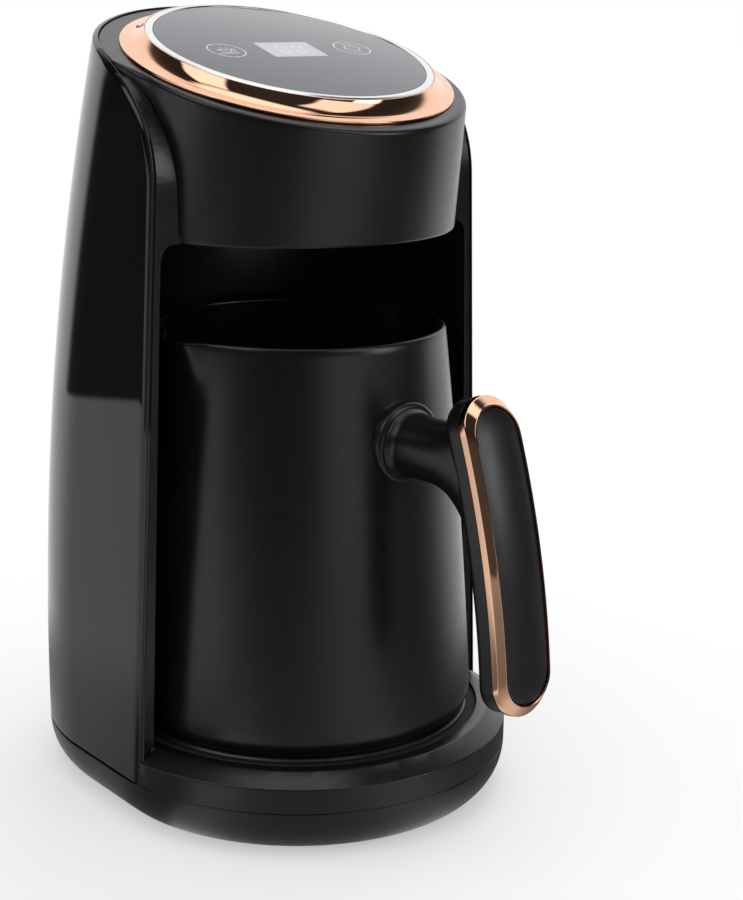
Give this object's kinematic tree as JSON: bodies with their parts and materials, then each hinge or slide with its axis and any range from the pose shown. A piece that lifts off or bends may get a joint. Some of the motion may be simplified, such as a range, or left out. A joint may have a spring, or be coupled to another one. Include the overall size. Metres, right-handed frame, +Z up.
{
  "type": "electric turkish coffee maker",
  "caption": "Countertop machine for brewing Turkish coffee: a lift-out jug with a long grip stands on a heated base under a leaning head with a sloping touch panel.",
  "frame": {"origin": "where the axis of the heating plate and jug meets the table top, on the plane of the foot ring", "axes": "+Z up, -Y the front, where the jug's handle points, +X to the right seen from the front"},
  "size_m": [0.143, 0.212, 0.2598],
  "materials": {
    "matt_black": "satin-matt black moulding",
    "gloss_black": "piano black gloss moulding",
    "pad_black": "satin black",
    "rose_gold": "polished rose gold plating",
    "silver_trim": "polished",
    "dark_glass": "dark tinted panel glass",
    "display": "pale segment display",
    "plate_metal": "machined, dark grey",
    "steel": "brushed",
    "screw_steel": "zinc plated",
    "brass": "turned",
    "soft_black": "soft moulded rubber",
    "silicone": "grey silicone",
    "frame_black": "textured inner moulding",
    "board_green": "coated circuit board",
    "part_blue": "moulded component case",
    "part_yellow": "moulded component case",
    "part_black": "moulded component case",
    "terminal_grey": "moulded",
    "wire_red": "silicone-covered lead",
    "lens": "dark red infrared window",
    "white_ceramic": "ceramic body"
  },
  "bodies": {
    "machine": {"base_pan": "matt_black", "foot_ring": "soft_black", "base_screws": "screw_steel", "column_screws": "screw_steel", "base_plinth": "matt_black", "housing_screws": "screw_steel", "heating_plate": "plate_metal", "plate_seal": "soft_black", "heating_element": "plate_metal", "element_clamp": "steel", "clamp_screws": "screw_steel", "sensor_guide": "frame_black", "thermal_fuse": "white_ceramic", "column_housing": "matt_black", "rear_cover": "gloss_black", "cord_gland": "soft_black", "power_board": "board_green", "board_screws": "screw_steel", "relay": "part_blue", "transformer": "part_yellow", "filter_capacitor": "part_black", "terminal_block": "terminal_grey", "heater_wires": "wire_red", "panel_cable": "part_black", "head_cover": "matt_black", "bay_ceiling": "matt_black", "ceiling_screws": "screw_steel", "head_screws": "screw_steel", "boil_sensor": "frame_black", "sensor_lens": "lens", "bezel_ring": "rose_gold", "silver_ring": "silver_trim", "panel_glass": "dark_glass", "panel_tray": "frame_black", "tray_screws": "screw_steel", "touch_board": "board_green", "touch_springs": "soft_black", "display_module": "display", "buzzer": "part_black"},
    "jug": {"jug_body": "matt_black", "jug_base": "steel", "jug_gasket": "silicone", "jug_collar": "frame_black", "collar_screws": "screw_steel", "handle_arm": "matt_black", "handle_flare": "matt_black", "handle_nut": "brass", "handle_screw": "screw_steel", "grip_frame": "rose_gold", "grip_pad": "pad_black", "grip_screws": "screw_steel"},
    "plunger": {"sensor_plunger": "steel", "sensor_spring": "steel"}
  },
  "joints": [
    {"name": "jug_out", "type": "slide", "parent": "machine", "child": "jug", "axis": [0, -1, 0], "range_m": [0, 0.19]},
    {"name": "sensor_press", "type": "slide", "parent": "machine", "child": "plunger", "axis": [0, 0, 1], "range_m": [-0.0015, 0], "stiffness_N_per_m": 400, "springref_m": 0.002, "deforming": ["sensor_spring"]}
  ]
}
